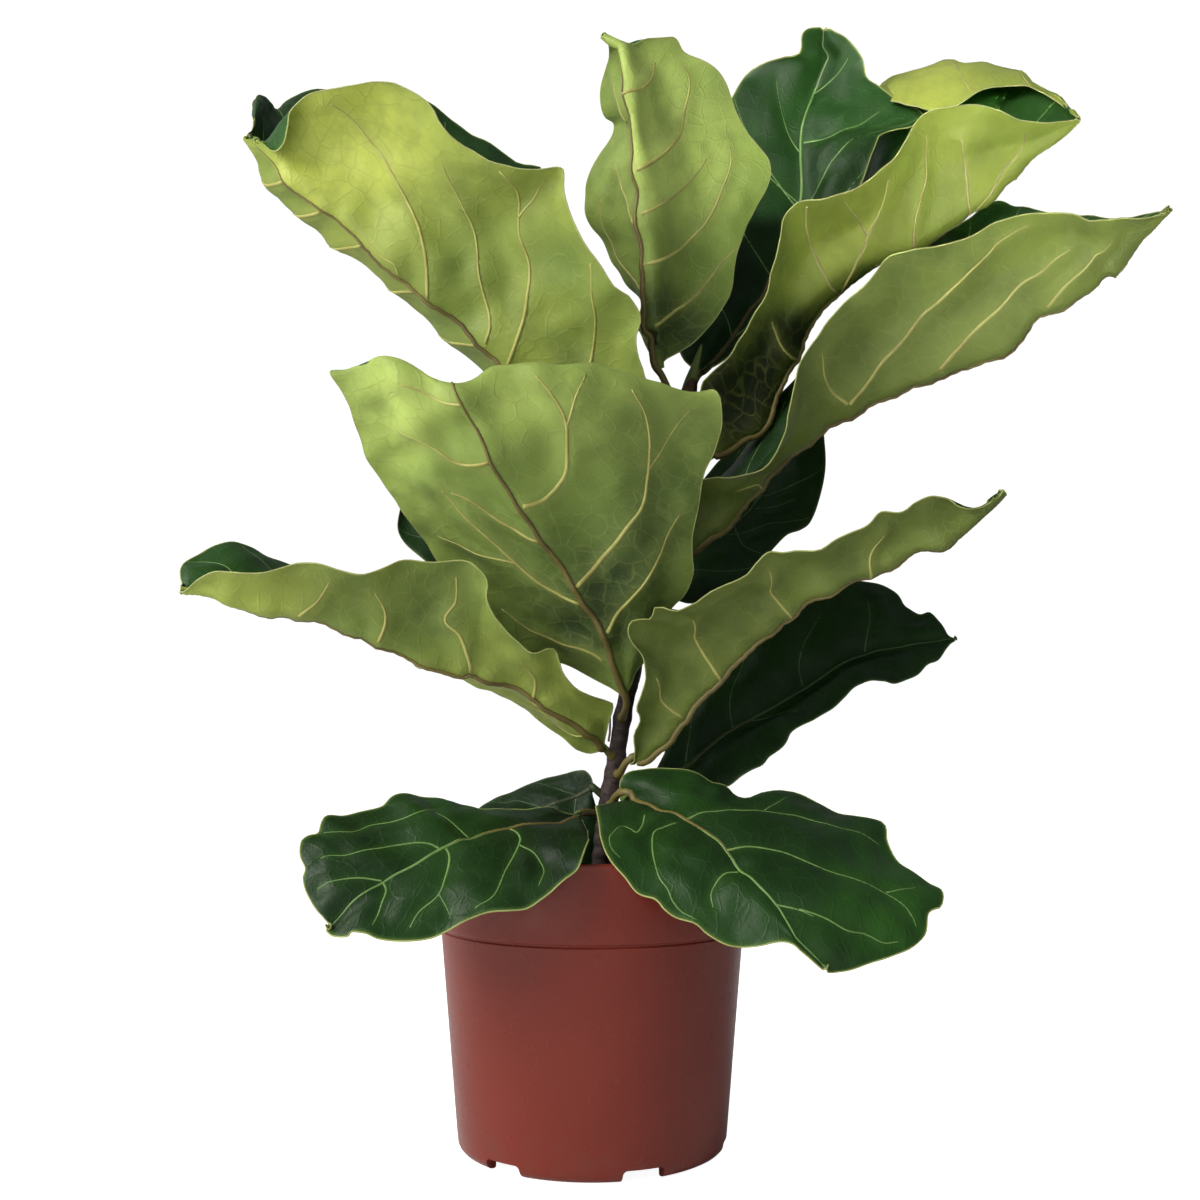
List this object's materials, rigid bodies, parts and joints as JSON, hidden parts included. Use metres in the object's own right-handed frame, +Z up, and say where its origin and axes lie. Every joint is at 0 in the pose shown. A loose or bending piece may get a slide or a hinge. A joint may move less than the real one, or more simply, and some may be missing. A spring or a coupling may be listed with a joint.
{
  "type": "potted fiddle leaf fig",
  "caption": "Young fiddle leaf fig with large leathery leaves, some folded along the midrib, in a round moulded terracotta-coloured plastic nursery pot.",
  "frame": {"origin": "on the pot's axis, at the level of its foot", "axes": "+Z up, along the pot's axis; +X to the right; the front looks along -Y"},
  "size_m": [0.512, 0.2124, 0.649],
  "materials": {
    "pot_plastic": "satin",
    "soil": "matte",
    "bark": "matte",
    "husk": "matte",
    "leaf_young": "satin",
    "leaf_mature": "satin"
  },
  "bodies": {
    "root": {"pot": "pot_plastic", "soil": "soil", "stem": "bark", "terminal_bud": "husk", "stipule_low": "husk", "stipule_high": "husk", "leaf_upper_left": "leaf_young", "leaf_top_left": "leaf_young", "leaf_top_back": "leaf_mature", "leaf_top_right": "leaf_young", "leaf_right_large": "leaf_young", "leaf_front_large": "leaf_young", "leaf_left_folded": "leaf_young", "leaf_back_right": "leaf_mature", "leaf_right_folded": "leaf_young", "leaf_right_low_back": "leaf_mature", "leaf_back_left": "leaf_mature", "leaf_low_left": "leaf_mature", "leaf_low_left_back": "leaf_mature", "leaf_low_right": "leaf_mature"}
  },
  "joints": []
}
